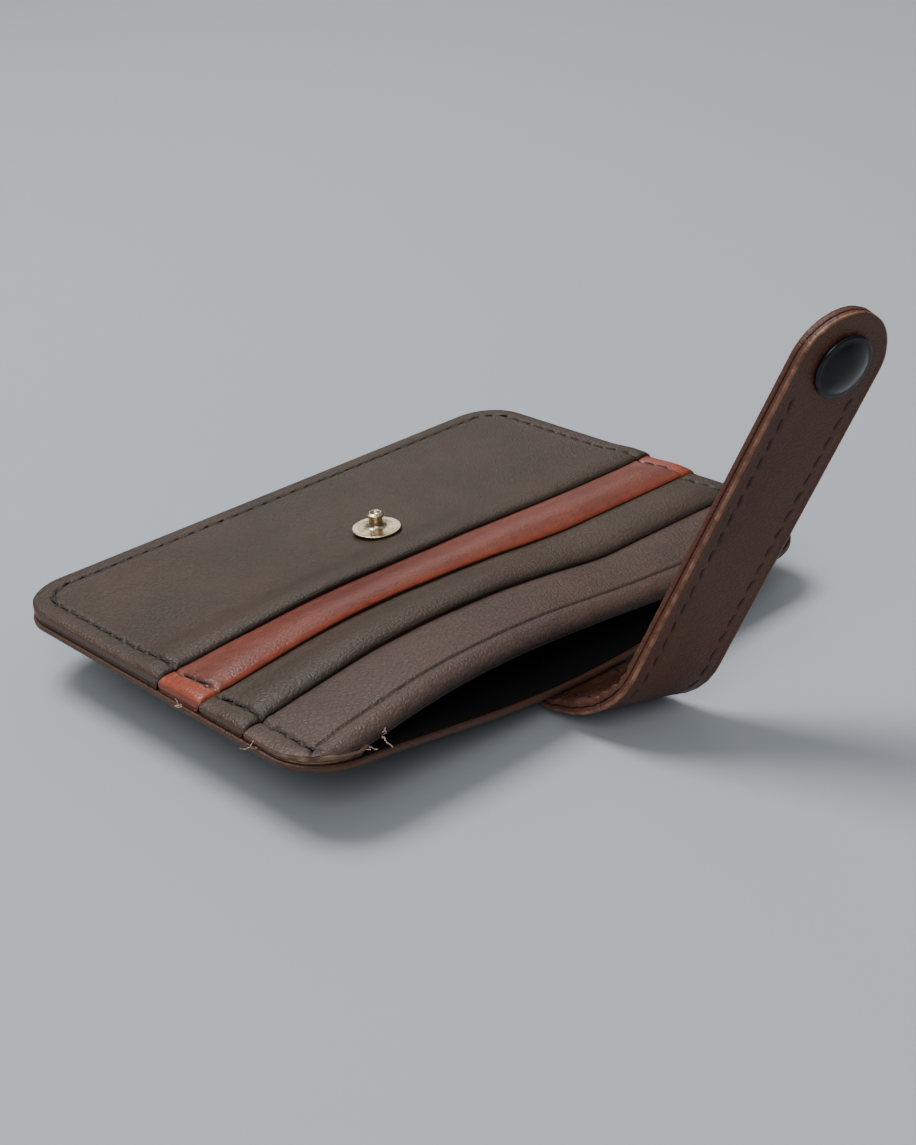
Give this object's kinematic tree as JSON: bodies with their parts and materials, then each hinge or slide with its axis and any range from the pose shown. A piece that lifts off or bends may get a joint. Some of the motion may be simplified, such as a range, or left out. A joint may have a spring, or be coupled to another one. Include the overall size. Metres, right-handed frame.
{
  "type": "card wallet",
  "caption": "Slim leather card holder with stepped card slots, a main pocket and a fold-over strap that snaps on a stud",
  "frame": {"origin": "middle of the back cover's flat outer face", "axes": "+Z out of the front with the stud, +X along the long side, the mouth of the pockets towards -Y"},
  "size_m": [0.11, 0.1156, 0.0659],
  "materials": {
    "olive_leather": "satin",
    "tan_leather": "satin",
    "brown_leather": "satin",
    "strap_leather": "satin",
    "lining": "matte",
    "thread": "matte",
    "stud_metal": "antique nickel plate",
    "cap_enamel": "gloss"
  },
  "bodies": {
    "wallet": {"back_cover": "olive_leather", "back_lining": "lining", "pocket_lining": "lining", "mouth_panel": "brown_leather", "dark_panel": "olive_leather", "tan_panel": "tan_leather", "stud_panel": "olive_leather", "slot_lining_lower": "lining", "slot_lining_middle": "lining", "slot_lining_upper": "lining", "side_seam_left": "thread", "side_seam_right": "thread", "bottom_seam": "thread", "snap_stud": "stud_metal", "stud_rivet": "stud_metal", "strap_root_outer": "strap_leather", "strap_root_lining": "strap_leather", "strap_root_stitches": "thread"},
    "strap_bend": {"strap_bend_outer": "strap_leather", "strap_bend_lining": "strap_leather", "strap_bend_stitches": "thread"},
    "strap_arm": {"strap_arm_outer": "strap_leather", "strap_arm_lining": "strap_leather", "strap_arm_stitches": "thread", "snap_cap": "cap_enamel", "cap_post": "stud_metal", "snap_socket": "stud_metal", "snap_spring": "stud_metal"}
  },
  "joints": [
    {"name": "strap_lower_fold", "type": "hinge", "parent": "wallet", "child": "strap_bend", "pos_m": [0, -0.04084, -0.00827], "axis": [0.9251, 0.2811, -0.2554], "range_deg": [-59, 37]},
    {"name": "strap_upper_fold", "type": "hinge", "parent": "strap_bend", "child": "strap_arm", "pos_m": [0.00192, -0.05553, 0.00059], "axis": [0.93, -0.0929, -0.3555], "range_deg": [-53.1, 33.3]}
  ],
  "couplings": [
    {"joint": "strap_upper_fold", "follows": "strap_lower_fold", "ratio": 0.9}
  ]
}
